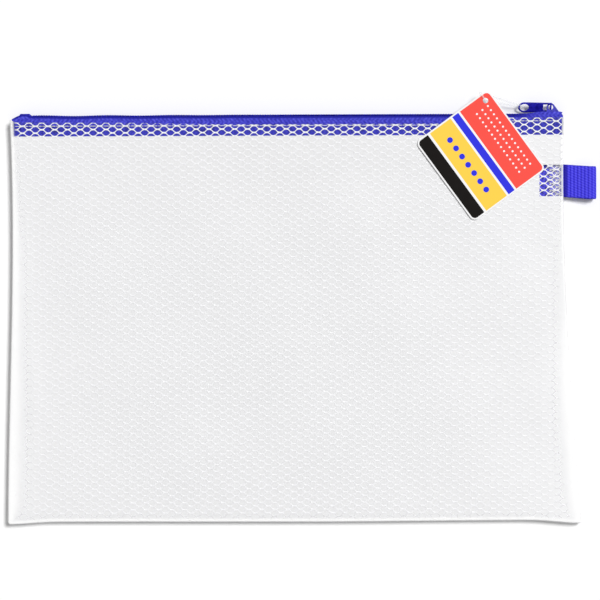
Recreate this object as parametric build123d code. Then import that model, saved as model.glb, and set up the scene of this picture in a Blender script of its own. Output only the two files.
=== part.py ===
from build123d import *
import math
import os

# Document wallet lying on its back: a zipped pocket of netted film with a webbing loop and a hang tag.
# Millimetres. X runs along the width, Y towards the zipper, Z up. The origin lies on the back face.

# Pocket outline: how far each side reaches from the origin at the mouth, and how it flares below
left_top_reach = 165.0
left_waist_flare = -0.8
left_waist_y = 40.0
left_bottom_flare = 2.2
right_top_reach = 160.8
right_waist_flare = 1.9
right_waist_y = 0.0
right_bottom_flare = 10.2
panel_top_y = 115.0
bottom_middle_y = -120.2
bottom_corner_y = -121.2
corner_round = 5.0
edge_round = 2.5
cut_overrun = 10.0

# Film and the seams that are turned to the inside
film = 0.4
seam_allowance = 6.0
seam_line_inset = 3.4

# Stitches
stitch_pitch = 4.0
stitch_length = 3.0
thread_width = 0.5
thread_height = 0.25
top_stitch_inset = 1.7
middle_share = 0.5

# Zipper tapes, which leave the chain sideways and fold down under the panels
tape_thickness = 0.5
tape_bare = 3.9
tape_under_panel = 8.0
tape_bend = 1.6
tape_end_clearance = 0.2
tape_gap = 2.8

# Ends of the tapes, which stand up unfolded beside the slider
tape_flap_length = 12.8
tape_flap_height = 2.4
tape_flap_left_slope = 3.5
tape_flap_right_slope = 2.7
tape_flap_inset = 0.5

# Zipper chain: two rows of loops that mesh
coil_width = 2.5
coil_height = 1.1
tooth_pitch = 2.0
tooth_reach = 0.8
mesh_clearance = 0.15

# Stop at the closed end of the chain
stop_length = 6.0
stop_left_inset = 5.7
stop_width = 6.0
stop_height = 1.9
stop_round = 0.6
stop_clearance = 0.3

# Slider: outer plate, inner plate and the post that parts the chain
slider_length = 10.6
slider_width = 7.4
slider_inner_width = 6.0
slider_plate = 0.6
slider_corner = 1.5
slider_end_inset = 0.6
rim_width = 0.7
side_clearance = 0.35
slot_clearance = 0.3
chain_clearance = 0.2
post_width = 2.2
post_length = 3.0
post_end_inset = 0.4
post_nose_share = 0.55

# Bridge on the slider, a ring with a sloping back
ring_bore = 3.0
ring_wall = 0.9
bridge_thickness = 1.0
bridge_left_inset = 1.6

# Pull tab, which hangs by its end bar in the bridge and lies tilted about its own length
pull_length = 19.2
pull_tail_width = 7.2
pull_neck_width = 6.2
pull_thickness = 0.7
pull_tilt = 40.0
pull_hole = 5.3
pull_bar = 1.0
pull_slot_end = 4.5
pull_slot_width = 4.4
pull_edge_round = 0.25
swing_clearance = 0.4

# Webbing loop in the right side seam
webbing_thickness = 1.1
webbing_width = 19.2
webbing_below_mouth = 25.0
webbing_tail_length = 13.4
webbing_tail_proud = 0.6
webbing_loop_length = 19.1
webbing_end_radius = 4.1
webbing_root_gap = 0.2
webbing_clearance = 0.3

# Hang tag
tag_length = 58.0
tag_width = 52.8
tag_thickness = 0.6
tag_corner = 3.5
tag_left_of_ring = 41.8
tag_below_ring = 28.7
tag_turn = -54.0
tag_hole = 3.2
tag_hole_end_inset = 4.6
tag_hole_side_inset = 5.0
tag_clearance = 0.3

# Clear plastic loop that ties the tag to the pull
wire = 1.0
wire_bend = 0.9
wire_clearance = 0.5
wire_edge_clearance = 0.7
wire_drop_low = 1.5

# Reach of the sides lower down
left_waist_reach = left_top_reach + left_waist_flare
left_bottom_reach = left_top_reach + left_bottom_flare
right_waist_reach = right_top_reach + right_waist_flare
right_bottom_reach = right_top_reach + right_bottom_flare

# Heights of the pocket, worked out from the slider that has to run between the tapes
middle_z = slider_width / 2 + side_clearance + tape_thickness + film
pocket_thickness = 2 * middle_z
tape_z = pocket_thickness - film

# Levels of the zipper along Y
tape_low_y = panel_top_y - tape_under_panel
tape_face_y = panel_top_y + tape_bare
coil_top_y = tape_face_y + coil_height
outer_plate_low_y = coil_top_y + chain_clearance
outer_plate_high_y = outer_plate_low_y + slider_plate
inner_plate_high_y = tape_face_y - tape_thickness - slot_clearance
inner_plate_low_y = inner_plate_high_y - slider_plate

webbing_low_y = panel_top_y - webbing_below_mouth - webbing_width

# Places along the zipper
tape_left_x = -left_top_reach + edge_round + tape_end_clearance
tape_right_x = right_top_reach - edge_round - tape_end_clearance
flap_right_x = right_top_reach - tape_flap_inset
flap_left_x = flap_right_x - tape_flap_length
slider_right_x = right_top_reach - slider_end_inset
slider_left_x = slider_right_x - slider_length
post_right_x = slider_right_x - post_end_inset
post_left_x = post_right_x - post_length
stop_left_x = -left_top_reach + stop_left_inset
stop_right_x = stop_left_x + stop_length
coil_left_x = stop_right_x + stop_clearance
coil_right_x = post_left_x - stop_clearance

# Centre of the bridge's ring, about which the pull swings
tilt_cos = math.cos(math.radians(pull_tilt))
tilt_sin = math.sin(math.radians(pull_tilt))
pull_half_height = pull_neck_width / 2 * tilt_cos + pull_thickness / 2 * tilt_sin
ring_radius = ring_bore / 2 + ring_wall
ring_x = slider_left_x + bridge_left_inset + ring_radius
ring_y = outer_plate_high_y + pull_half_height + swing_clearance
pull_hole_reach = pull_length - pull_tail_width / 2

# Levels and directions of the tag and its loop
tag_low_z = pocket_thickness + thread_height + tag_clearance
tag_high_z = tag_low_z + tag_thickness
tag_centre_x = ring_x - tag_left_of_ring
tag_centre_y = ring_y - tag_below_ring
tag_along = Vector(1, 0, 0).rotate(Axis.Z, tag_turn)
tag_across = Vector(0, 1, 0).rotate(Axis.Z, tag_turn)
tag_hole_along = tag_hole_end_inset - tag_length / 2
tag_hole_across = tag_width / 2 - tag_hole_side_inset


def between_y(sketch, low_y, high_y):
    # Solid of a sketch drawn in X and Z, from one level of Y to another
    return extrude(Plane.XZ.offset(-high_y) * sketch, high_y - low_y)


def along_x(sketch, low_x, high_x):
    # Solid of a sketch drawn in Y and Z, from one level of X to another
    return extrude(Plane.YZ.offset(low_x) * sketch, high_x - low_x)


def pocket_edges():
    # Sides of the pocket, run on past the mouth so that the mouth can be cut square
    top_y = panel_top_y + cut_overrun
    top_left = (-left_top_reach, top_y)
    top_right = (right_top_reach, top_y)
    bottom_left = (-left_bottom_reach, bottom_corner_y)
    bottom_right = (right_bottom_reach, bottom_corner_y)
    left = ThreePointArc(top_left, (-left_waist_reach, left_waist_y), bottom_left)
    bottom = ThreePointArc(bottom_left, (0, bottom_middle_y), bottom_right)
    right = ThreePointArc(bottom_right, (right_waist_reach, right_waist_y), top_right)
    return [left, bottom, right, Line(top_right, top_left)]


def pocket_block(inset):
    # Pocket with rounded edges, every face moved inwards by the inset
    outline = make_face(pocket_edges())
    outline = fillet(outline.vertices().sort_by(Axis.Y)[:2], corner_round)
    if inset:
        outline = offset(outline, amount=-inset)
    block = extrude(Pos(0, 0, inset) * outline, pocket_thickness - 2 * inset)
    levels = block.faces().sort_by(Axis.Z)
    return fillet(levels[0].edges() + levels[-1].edges(), edge_round - inset)


def below_mouth(solid):
    return split(solid, Plane.XZ.offset(-panel_top_y), keep=Keep.TOP)


def seam_flange(low_z):
    # Seam allowance of one panel, turned to the inside along three sides
    outline = make_face(pocket_edges())
    frame = offset(outline, amount=-film / 2, kind=Kind.INTERSECTION)
    frame -= offset(outline, amount=-film - seam_allowance, kind=Kind.INTERSECTION)
    corner_cut = Pos(0, 0, low_z) * extrude(frame, film)
    return below_mouth(corner_cut & pocket_block(0))


def webbing_block(low_x, high_x, room):
    # Space that both layers of the webbing fill, with room all round
    length = high_x - low_x
    width = webbing_width + 2 * room
    height = 2 * webbing_thickness + 2 * room
    centre_y = webbing_low_y + webbing_width / 2
    return Pos((low_x + high_x) / 2, centre_y, middle_z) * Box(length, width, height)


# Webbing: the tail inside the seam and the bend line outside it
webbing_wall_x = right_top_reach
webbing_tail_left_x = webbing_wall_x - webbing_tail_length
webbing_tail_right_x = webbing_wall_x + webbing_tail_proud
webbing_axis_x = webbing_tail_right_x + webbing_clearance + webbing_thickness
webbing_end_x = webbing_tail_right_x + webbing_loop_length - webbing_end_radius


def panels():
    # Front and back halves of the pocket, which meet at the side and bottom seams
    shell = below_mouth(pocket_block(0) - pocket_block(film))
    middle = Plane.XY.offset(middle_z)
    notch_left_x = webbing_tail_left_x - webbing_clearance
    notch = webbing_block(notch_left_x, webbing_wall_x + cut_overrun, webbing_clearance)
    front = split(shell, middle, keep=Keep.TOP) + seam_flange(middle_z) - notch
    back = split(shell, middle, keep=Keep.BOTTOM) + seam_flange(middle_z - film) - notch
    return front, back


def front_tape():
    # Strip that folds from the panel round to the chain
    edge_z = middle_z + tape_gap / 2
    outline = Polyline(
        (tape_low_y, tape_z),
        (tape_face_y, tape_z),
        (tape_face_y, edge_z),
        (tape_face_y - tape_thickness, edge_z),
        (tape_face_y - tape_thickness, tape_z - tape_thickness),
        (tape_low_y, tape_z - tape_thickness),
        close=True,
    )
    profile = make_face(outline)
    profile = fillet(sorted(profile.vertices(), key=lambda v: v.X + v.Y)[-1], tape_bend)
    inner_corner = Vector(tape_face_y - tape_thickness, tape_z - tape_thickness)
    nearest = sorted(profile.vertices(), key=lambda v: (Vector(v) - inner_corner).length)[0]
    profile = fillet(nearest, tape_bend - tape_thickness)
    return along_x(profile, tape_left_x, tape_right_x) + tape_flap()


def tape_flap():
    # Unfolded end of the strip, which stands up past the fold line and hides the slider's plates
    fold_y = tape_face_y - tape_bend
    high_y = tape_face_y + tape_flap_height
    low_y = panel_top_y + tape_end_clearance
    outline = Polyline(
        (flap_left_x, low_y),
        (flap_right_x, low_y),
        (flap_right_x, fold_y),
        (flap_right_x - tape_flap_right_slope, high_y),
        (flap_left_x + tape_flap_left_slope, high_y),
        (flap_left_x, fold_y),
        close=True,
    )
    return extrude(Pos(0, 0, tape_z - tape_thickness) * make_face(outline), tape_thickness)


def other_side(solid):
    # The same piece on the back half of the zipper
    return mirror(solid, about=Plane.XY.offset(middle_z))


def coil(first_x):
    # Row of loops as a comb, whose teeth reach past the middle between those of the other row
    tooth_width = tooth_pitch / 2 - mesh_clearance
    root_z = middle_z + tooth_reach + mesh_clearance
    tip_z = middle_z - tooth_reach
    back_z = middle_z + coil_width
    count = int((coil_right_x - first_x) / tooth_pitch)
    points = [(coil_right_x, root_z), (coil_right_x, back_z), (coil_left_x, back_z), (coil_left_x, root_z)]
    for index in range(count):
        low_x = first_x + index * tooth_pitch
        high_x = low_x + tooth_width
        points += [(low_x, root_z), (low_x, tip_z), (high_x, tip_z), (high_x, root_z)]
    return between_y(make_face(Polyline(points, close=True)), tape_face_y, coil_top_y)


def bottom_stop():
    centre_x = (stop_left_x + stop_right_x) / 2
    block = Box(stop_length, stop_height, stop_width, align=(Align.CENTER, Align.MIN, Align.CENTER))
    block = Pos(centre_x, tape_face_y, middle_z) * block
    return fillet(block.faces().sort_by(Axis.Y)[-1].edges(), stop_round)


def slider_plate_solid(width, low_y, high_y):
    centre_x = (slider_left_x + slider_right_x) / 2
    sketch = Pos(centre_x, middle_z) * RectangleRounded(slider_length, width, slider_corner)
    return between_y(sketch, low_y, high_y)


def slider_body():
    # Both plates, the side rims that hold the loops in, and the post between the plates
    body = slider_plate_solid(slider_width, outer_plate_low_y, outer_plate_high_y)
    body += slider_plate_solid(slider_inner_width, inner_plate_low_y, inner_plate_high_y)
    rim_low_y = tape_face_y + slot_clearance
    rim_length = slider_length - 2 * slider_corner
    rim_centre_x = (slider_left_x + slider_right_x) / 2
    for side in (-1, 1):
        rim_z = middle_z + side * (slider_width - rim_width) / 2
        rim = Pos(rim_centre_x, rim_z) * Rectangle(rim_length, rim_width)
        body += between_y(rim, rim_low_y, outer_plate_low_y)
    wide_x = post_left_x + post_length * post_nose_share
    post = make_face(
        Polyline(
            (post_left_x, middle_z),
            (wide_x, middle_z + post_width / 2),
            (post_right_x, middle_z),
            (wide_x, middle_z - post_width / 2),
            close=True,
        )
    )
    return body + between_y(post, inner_plate_high_y, outer_plate_low_y)


def slider_bridge():
    # Ring for the pull, standing on the outer plate, with a back that slopes to the plate's end
    ring_place = Pos(ring_x, ring_y)
    foot_height = ring_y - outer_plate_high_y
    foot = Rectangle(2 * ring_radius, foot_height, align=(Align.CENTER, Align.MAX))
    slope_end_x = slider_right_x - slider_corner
    back = make_face(
        Polyline(
            (ring_x, outer_plate_high_y),
            (slope_end_x, outer_plate_high_y),
            (ring_x + ring_radius * tilt_cos, ring_y + ring_radius * tilt_sin),
            (ring_x, ring_y),
            close=True,
        )
    )
    sketch = ring_place * Circle(ring_radius) + ring_place * foot + back
    sketch -= ring_place * Circle(ring_bore / 2)
    return extrude(Pos(0, 0, middle_z) * sketch, bridge_thickness / 2, both=True)


def pull_tab():
    # Flat tab drawn from the ring's centre outwards, with a slot at the bridge and a hole at its tail
    neck = pull_neck_width / 2
    tail = pull_tail_width / 2
    end = -pull_bar / 2
    body = make_face(
        Polyline((end, -neck), (pull_hole_reach, -tail), (pull_hole_reach, tail), (end, neck), close=True)
    )
    outline = body + Pos(pull_hole_reach, 0) * Circle(tail)
    slot_length = pull_slot_end - pull_bar / 2
    slot_centre = (pull_slot_end + pull_bar / 2) / 2
    outline -= Pos(slot_centre, 0) * Rectangle(slot_length, pull_slot_width)
    outline -= Pos(pull_hole_reach, 0) * Circle(pull_hole / 2)
    plane = Plane((ring_x, ring_y, middle_z), x_dir=(-1, 0, 0), z_dir=(0, tilt_sin, -tilt_cos))
    tab = extrude(plane * outline, pull_thickness / 2, both=True)
    ends = tab.faces().sort_by(lambda face: face.area)[-2:]
    rims = ShapeList(edge for face in ends for edge in face.outer_wire().edges())
    return fillet(rims, pull_edge_round)


def webbing_tail():
    return webbing_block(webbing_tail_left_x, webbing_tail_right_x, 0)


def webbing_loop():
    # Strip folded back on itself round a wide end, pinched together at its bend line
    inner_radius = webbing_end_radius - webbing_thickness
    root_share = webbing_root_gap / inner_radius
    root_x = webbing_axis_x + (webbing_end_x - webbing_axis_x) * root_share
    axis_circle = Pos(webbing_axis_x, middle_z) * Circle(webbing_thickness)
    end_circle = Pos(webbing_end_x, middle_z) * Circle(webbing_end_radius)
    outside = make_hull(axis_circle.edges() + end_circle.edges())
    root_circle = Pos(root_x, middle_z) * Circle(webbing_root_gap)
    inner_circle = Pos(webbing_end_x, middle_z) * Circle(inner_radius)
    inside = make_hull(root_circle.edges() + inner_circle.edges())
    return between_y(outside - inside, webbing_low_y, webbing_low_y + webbing_width)


def tag_card():
    sketch = RectangleRounded(tag_length, tag_width, tag_corner)
    sketch -= Pos(tag_hole_along, tag_hole_across) * Circle(tag_hole / 2)
    place = Pos(tag_centre_x, tag_centre_y, tag_low_z) * Rot(0, 0, tag_turn)
    return place * extrude(sketch, tag_thickness)


def tag_loop():
    # Closed wire: up through the tag, round its edge, and down through the hole of the pull
    hole = Vector(tag_centre_x, tag_centre_y, 0) + tag_along * tag_hole_along + tag_across * tag_hole_across
    edge_reach = tag_hole_end_inset + wire / 2 + wire_edge_clearance
    outside = hole - tag_along * edge_reach
    pull_end = Vector(ring_x - pull_hole_reach, ring_y, 0)
    over_z = tag_high_z + wire / 2 + wire_clearance
    under_z = tag_low_z - wire / 2 - wire_clearance
    low_z = wire / 2 + wire_drop_low
    tag_under = hole + Vector(0, 0, under_z)
    edge_under = outside + Vector(0, 0, under_z)
    pull_over = pull_end + Vector(0, 0, under_z)
    pull_under = pull_end + Vector(0, 0, low_z)
    lower_middle = (tag_under + pull_under) / 2
    upper_middle = (edge_under + pull_over) / 2
    over_tag = [hole + Vector(0, 0, over_z), outside + Vector(0, 0, over_z)]
    tag_half = FilletPolyline(lower_middle, tag_under, *over_tag, edge_under, upper_middle, radius=wire_bend)
    pull_half = FilletPolyline(upper_middle, pull_over, pull_under, lower_middle, radius=wire_bend)
    print("tag loop length", tag_half.length + pull_half.length)
    return wire_along(tag_half) + wire_along(pull_half)


def wire_along(path):
    start = Plane(path.position_at(0), z_dir=path.tangent_at(0))
    return sweep(start * Circle(wire / 2), path=path)


def stitch_row(path, low_z):
    # Short bars of thread along a seam
    count = int(path.length / stitch_pitch)
    bar = Box(stitch_length, thread_width, thread_height, align=(Align.CENTER, Align.CENTER, Align.MIN))
    stitches = []
    for index in range(count):
        share = (index + middle_share) / count
        place = path.position_at(share)
        way = path.tangent_at(share)
        turn = math.degrees(math.atan2(way.Y, way.X))
        stitches.append(Pos(place.X, place.Y, low_z) * Rot(0, 0, turn) * bar)
    return stitches


def seam_rows():
    # Stitches of the two zipper seams and of the three turned-in seams
    stitch_y = panel_top_y - top_stitch_inset
    top_line = Line((tape_left_x, stitch_y), (tape_right_x, stitch_y))
    seam_z = middle_z + film
    seam_face = offset(make_face(pocket_edges()), amount=-seam_line_inset, kind=Kind.INTERSECTION)
    seam_edges = below_mouth_edges(seam_face)
    right_row = stitch_row(seam_edges[2], seam_z)
    gap = webbing_width / 2 + webbing_clearance + stitch_length
    webbing_y = webbing_low_y + webbing_width / 2
    return {
        "front_seam_thread": stitch_row(top_line, pocket_thickness),
        "back_seam_thread": stitch_row(top_line, film + tape_thickness),
        "left_seam_thread": stitch_row(seam_edges[0], seam_z),
        "bottom_seam_thread": stitch_row(seam_edges[1], seam_z),
        "right_seam_thread": [bar for bar in right_row if abs(bar.center().Y - webbing_y) > gap],
    }


def below_mouth_edges(face):
    # Left, bottom and right edges of a face, cut off below the zipper tape
    tall = cut_overrun - bottom_corner_y + panel_top_y
    wide = left_bottom_reach + right_bottom_reach
    cutter = Pos(0, tape_low_y) * Rectangle(2 * wide, 2 * tall, align=(Align.CENTER, Align.MAX))
    edges = (face & cutter).edges()
    left = edges.sort_by(Axis.X)[0]
    right = edges.sort_by(Axis.X)[-1]
    bottom = edges.sort_by(Axis.Y)[0]
    return [left, bottom, right]


def all_nodes():
    front_panel, back_panel = panels()
    tape = front_tape()
    nodes = {
        "front_panel": front_panel,
        "back_panel": back_panel,
        "front_tape": tape,
        "back_tape": other_side(tape),
        "front_coil": coil(coil_left_x + tooth_pitch / 2),
        "back_coil": other_side(coil(coil_left_x + tooth_pitch)),
        "bottom_stop": bottom_stop(),
        "slider_body": slider_body(),
        "slider_bridge": slider_bridge(),
        "pull_tab": pull_tab(),
        "webbing_tail": webbing_tail(),
        "webbing_loop": webbing_loop(),
        "tag_card": tag_card(),
        "tag_loop": tag_loop(),
    }
    for name, row in seam_rows().items():
        nodes[name] = Compound(children=row)
    return nodes


os.makedirs("parts", exist_ok=True)
for node_name, node_solid in all_nodes().items():
    export_step(node_solid, f"parts/{node_name}.step")
print("slider travel", slider_left_x - stop_right_x - stop_clearance)
print("pull axis", ring_x, ring_y, "pull hole x", ring_x - pull_hole_reach)
print("webbing axis", webbing_axis_x, "middle z", middle_z)
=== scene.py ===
import math

import bmesh
import bpy
import numpy as np
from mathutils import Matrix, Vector


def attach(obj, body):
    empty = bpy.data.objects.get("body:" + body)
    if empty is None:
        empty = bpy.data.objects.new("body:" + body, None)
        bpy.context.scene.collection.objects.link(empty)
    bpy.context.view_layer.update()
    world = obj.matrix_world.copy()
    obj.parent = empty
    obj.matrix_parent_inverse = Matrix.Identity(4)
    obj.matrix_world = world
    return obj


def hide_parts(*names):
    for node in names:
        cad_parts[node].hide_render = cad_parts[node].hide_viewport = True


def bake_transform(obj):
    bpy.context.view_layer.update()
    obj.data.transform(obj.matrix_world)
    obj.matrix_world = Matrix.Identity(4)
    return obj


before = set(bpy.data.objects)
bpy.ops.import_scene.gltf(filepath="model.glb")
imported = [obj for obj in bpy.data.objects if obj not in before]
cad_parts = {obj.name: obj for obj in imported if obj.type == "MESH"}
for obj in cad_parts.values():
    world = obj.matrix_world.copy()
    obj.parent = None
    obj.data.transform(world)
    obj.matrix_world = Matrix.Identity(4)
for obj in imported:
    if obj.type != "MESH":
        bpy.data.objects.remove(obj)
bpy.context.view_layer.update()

# Document wallet on a white floor, seen from straight above. Metres, in the row frame.

# Camera and its view of the pocket's middle height
camera_height = 1.5
view_centre_x = 0.0053
view_centre_y = 0.0106
view_width = 0.354
view_level = 0.005
camera_roll_degrees = 0.2
camera_sensor_mm = 36

# Light and floor
sky_strength = 0.30
sun_strength = 2.40
sun_direction = (-0.35, -0.27, -1.0)
sun_softness_degrees = 15
clear_layers = 24
floor_size = 6.0
floor_drop = 0.0001
floor_glow_strength = 0.03

# Pocket outline: level and place of each side, chosen along its curve
left_stations = [(0.1115, -0.16515), (0.0466, -0.1641), (-0.0474, -0.1660), (-0.1184, -0.16745)]
right_stations = [(0.1145, 0.1612), (0.0575, 0.1610), (-0.0490, 0.1656), (-0.1195, 0.17065)]
mouth_y = 0.115
corner_rise = 0.0018
corner_inset = 0.0013
bottom_y = -0.1200
bottom_stations = [
    (-0.168, -0.1212), (-0.138, -0.1198), (0.020, -0.1202), (0.140, -0.1197), (0.171, -0.1216),
]

# Film: heights, rounded sides and the seams turned to the inside
middle_z = 0.00495
pocket_half = 0.00495
ridge_height = 0.0002
film_thickness = 0.0002
film_half = pocket_half - ridge_height
round_at_mouth = 0.0008
round_at_bottom = 0.0012
bottom_round = 0.0008
seam_pinch = 0.0006
seam_pinch_reach = 0.0015
allowance = 0.0095
allowance_gap = 0.0004
bottom_allowance_gap = 0.0009
allowance_ramp = 0.001
webbing_bulge = 0.0013
webbing_bulge_ramp = 0.004
ripple_height = 0.0003
ripple_length_x = 0.083
ripple_length_y = 0.061
ripple_lean_share = 0.4
ripple_cross_share = 0.3
ripple_fade = 0.03
panel_edge_stations = [
    (-0.1668, 0.1150), (-0.1648, 0.1173), (-0.1605, 0.1155), (-0.110, 0.1152), (-0.025, 0.1140),
    (0.085, 0.1140), (0.130, 0.1174), (0.161, 0.1175),
]
probe_step = 0.00005
weld = 0.000001

# Points of the film's mesh over its allowance, rounded edge and white band, and over its face
side_run_points = (5, 9, 9)
bottom_run_points = (5, 8, 4)
face_columns = 62
face_rows = 52
film_crease_degrees = 70

# Painted highlight in white bands beside the folds: level and width, and level and share of whiteness on
# the right
left_band_stations = [(-0.121, 0.0035), (-0.108, 0.0080), (-0.06, 0.0080), (0.0, 0.0060), (0.115, 0.0022)]
right_band_stations = [
    (-0.121, 0.0040), (-0.108, 0.0078), (-0.06, 0.0078), (0.0, 0.0050),
    (0.060, 0.0026), (0.070, 0.0006),
]
right_fold_shares = [
    (-0.030, 1.0), (0.020, 0.3), (0.066, 0.3), (0.072, 0.7),
    (0.089, 0.7), (0.095, 0.3), (0.104, 0.3), (0.108, 0.7),
]
band_plateau_share = 0.3
bottom_band = 0.0022

# Net: lens-shaped cells in half-offset rows
net_pitch_x = 0.007567
net_pitch_y = 0.00407
net_start_x = -0.1614
net_start_y = 0.1133
cell_tip = 0.0029
hole_tip = 0.00252
hole_shoulder_x = 0.00124
hole_shoulder_y = 0.00134
hole_half_height = 0.00166
net_hole_lift = 0.00002
net_margin = 0.001
net_start_share = 0.85
net_beside_webbing = 0.008
net_spare_cells = 4
net_weld = 0.000002
net_crease_degrees = 75
key_shift_share = 0.137

# Zipper tapes
tape_low_y = 0.1070
tape_fold_y = 0.1189
tape_bend = 0.0016
tape_thickness = 0.0005
tape_face_z = 0.0095
tape_inner_z = 0.00635
tape_level_run = tape_fold_y - tape_bend - tape_low_y
tape_bend_run = math.pi / 2 * tape_bend
tape_down_run = tape_face_z - tape_bend - tape_inner_z
tape_left_x = -0.1639
tape_right_x = 0.1604
tape_left_slope_x = -0.1590
tape_left_low_y = 0.1175
tape_hump_x = -0.1572
tape_hump_reach = 0.0060
tape_hump = 0.0017
unfold_start_x = 0.1300
unfold_end_x = 0.1495
unfold_share = 0.85
flap_slope_x = 0.1588
flap_slope_low_y = 0.1186
# Painted shade on the tape under the film: ramp and inset of its edge
cover_ramp = 0.0006
cover_inset = 0.0009
top_wave = 0.00025
top_wave_length = 0.039
top_wave_fade_x = 0.02
# Painted shade along the top of the tape's fold and along its left sloping end: level, ramp and line width
dusk_y = 0.1173
dusk_ramp = 0.0007
slope_line = 0.0003
tape_width_points = (24, 8, 4)
tape_length_points = (9, 150, 10, 8, 6)
tape_crease_degrees = 50

# Zipper chain
coil_pitch = 0.0015
coil_wire = 0.0007
coil_left_x = -0.1530
coil_right_x = 0.1530
coil_centre_y = 0.1195
coil_half_y = 0.0003
coil_half_z = 0.00128
coil_offset_z = 0.00085
back_coil_shift_share = 0.5
coil_points = 14
wire_sides = 6

# Thread, and the shares of length and depth along one stitch
stitch_pitch = 0.0040
stitch_length = 0.0035
thread_radius = 0.00018
seam_line_inset = 0.0034
stitch_stations = [(-0.165, 0.1133), (0.085, 0.1132), (0.130, 0.1155), (0.161, 0.1155)]
stitch_shares = (0, 0.06, 0.16, 0.35, 0.65, 0.84, 0.94, 1)
stitch_depth_shares = (1, 0.45, 0.1, 0, 0, 0.1, 0.45, 1)

# Webbing
webbing_thickness = 0.0011
webbing_low_y = 0.0708
webbing_high_y = 0.0900
webbing_start_x = 0.1461
webbing_seam_x = 0.1614
webbing_end_x = 0.1764
webbing_end_radius = 0.00355
webbing_layer_gap = 0.00005
webbing_trim_radians = 0.15
webbing_turn_points = 24
webbing_rib_pitch = 0.0021
webbing_rib_height = 0.00028
webbing_rib_power = 0.8
webbing_edge_power = 16
webbing_edge_share = 0.35
webbing_selvage = 0.0008
webbing_selvage_dark_share = 0.5
# Painted shade on the loop beside the seam: reach outward and start inside
webbing_shade_reach = 0.0032
webbing_shade_start = 0.0006
webbing_skew = 0.0012
webbing_samples = 280
webbing_smoothing = 9
webbing_columns = 26
webbing_crease_degrees = 60

# Softened edges of the stop, slider, bridge and pull
stop_bevel = 0.0006
slider_bevel = 0.0001
bridge_bevel = 0.00015
bevel_segments = 3
bevel_degrees = 35

# Tag
tag_centre = (0.1118, 0.0951)
tag_turn_degrees = -54
tag_half_length = 0.029
tag_half_width = 0.0264
tag_border = 0.0009
tag_corner = 0.0035
tag_dot_run = 0.0220
facing_up_share = 0.5

# Weave and grain: pitches, lean of the stripes, weights in the colour, and depths of the bumps
twill_pitch = 0.0019
twill_lean_share = 0.8
twill_band_pitch = 0.0052
twill_band_lean_share = 0.02
twill_band_share = 0.5
twill_wear_share = 0.2
knot_pitch = 0.0014
knot_lean_share = 0.45
# rib_shade_share: weight of the painted shade and light of the ribs in the colour
rib_shade_share = 0.55
knot_wear_share = 0.22
twist_pitch = 0.0005
twist_lean_shares = (1, 0.7, 0.3)
film_dent_depth = 0.0004
twill_depth = 0.0002
knot_depth = 0.00025
fine_depth = 0.0001


def tone(red, green, blue):
    """Linear colour of an 8-bit display colour."""
    def linear(value):
        share = value / 255
        if share <= 0.04045:
            return share / 12.92
        return ((share + 0.055) / 1.055) ** 2.4
    return (linear(red), linear(green), linear(blue), 1)


# Colours
bright_white = tone(255, 255, 255)
film_tint = tone(251, 251, 252)
# film_white: the white the film scatters through itself, and its painted highlight along the folds
film_white = tone(254, 254, 254)
net_white = tone(252, 252, 253)
net_shade = tone(247, 247, 250)
tape_blue = tone(62, 62, 196)
tape_shade = tone(40, 40, 158)
tape_light = tone(92, 92, 222)
# Tape under the film, darker with painted shade
film_shaded_blue = tone(42, 44, 178)
film_shaded_dark = tone(28, 29, 146)
film_shaded_light = tone(60, 62, 202)
# Painted shade on the tape's fold and its left sloping end
fold_shade_navy = tone(20, 20, 152)
chain_blue = tone(26, 26, 208)
chain_shade = tone(14, 14, 142)
enamel_blue = tone(46, 42, 190)
enamel_shade = tone(26, 22, 148)
# Webbing blue, with painted shade in the rib grooves and painted light on the crests
webbing_blue = tone(64, 57, 224)
webbing_shade = tone(38, 30, 186)
webbing_light = tone(90, 84, 244)
# webbing_dark: painted shade beside the seam, and the darker selvages
webbing_dark = tone(26, 18, 140)
thread_white = tone(246, 246, 248)
card_white = tone(250, 250, 250)
card_red = tone(253, 86, 76)
card_yellow = tone(255, 214, 82)
card_blue = tone(52, 56, 228)
card_black = tone(16, 13, 11)
loop_clear = tone(244, 246, 248)
floor_bounce = tone(204, 204, 204)

# Film looks: opacity of one face over air, over what touches it, and along a fold, where its white is a
# painted highlight
film_milk_low = 0.76
film_milk_high = 0.82
film_clear = 0.02
touch_inset = 0.0003
# Painted light: whiteness added to the film towards its sides and beside its folds
glow_centre_x = -0.0095
left_glow_x = -0.155
left_glow_share = 0.055
right_glow_x = 0.155
right_glow_share = 0.11
fold_glow_share = 0.09
fold_glow_bands = 3.5
# Painted paleness over the webbing towards the right fold, covering the shade there: start, end and share
highlight_veil_start_x = 0.1510
highlight_veil_end_x = 0.1610
highlight_veil_share = 0.12
fold_alpha = 0.97
film_through_share = 0.09
net_through_share = 0.1
fold_through_share = 0.0

# Bands across the tag, from the share of its width where each begins
tag_band_shares = [
    (0.0, card_black), (0.16, card_white), (0.185, card_yellow), (0.47, card_white),
    (0.495, card_blue), (0.575, card_white), (0.6, card_red),
]

# Rows of dots on the tag: place across it, pitch, radius and colour
tag_dot_rows = [
    (0.0206, 0.0030, 0.0006, card_white), (0.0166, 0.0030, 0.0006, card_white),
    (0.0126, 0.0030, 0.0006, card_white), (-0.0092, 0.0060, 0.0017, card_blue),
]


def smooth_step(share):
    share = np.clip(share, 0, 1)
    return share * share * (3 - 2 * share)


def smooth_through(x, stations):
    """Value of a curve that eases from station to station."""
    value = np.full(np.shape(x), stations[0][1], float)
    for (start, low), (end, high) in zip(stations, stations[1:]):
        value = value + (high - low) * smooth_step((x - start) / (end - start))
    return value


def polynomial_through(stations):
    levels, places = zip(*stations)
    return np.poly1d(np.polyfit(levels, places, len(stations) - 1))


def stacked(*columns):
    """Points from their coordinates, each an array or one number."""
    return np.stack(np.broadcast_arrays(*columns), axis=-1)


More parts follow.
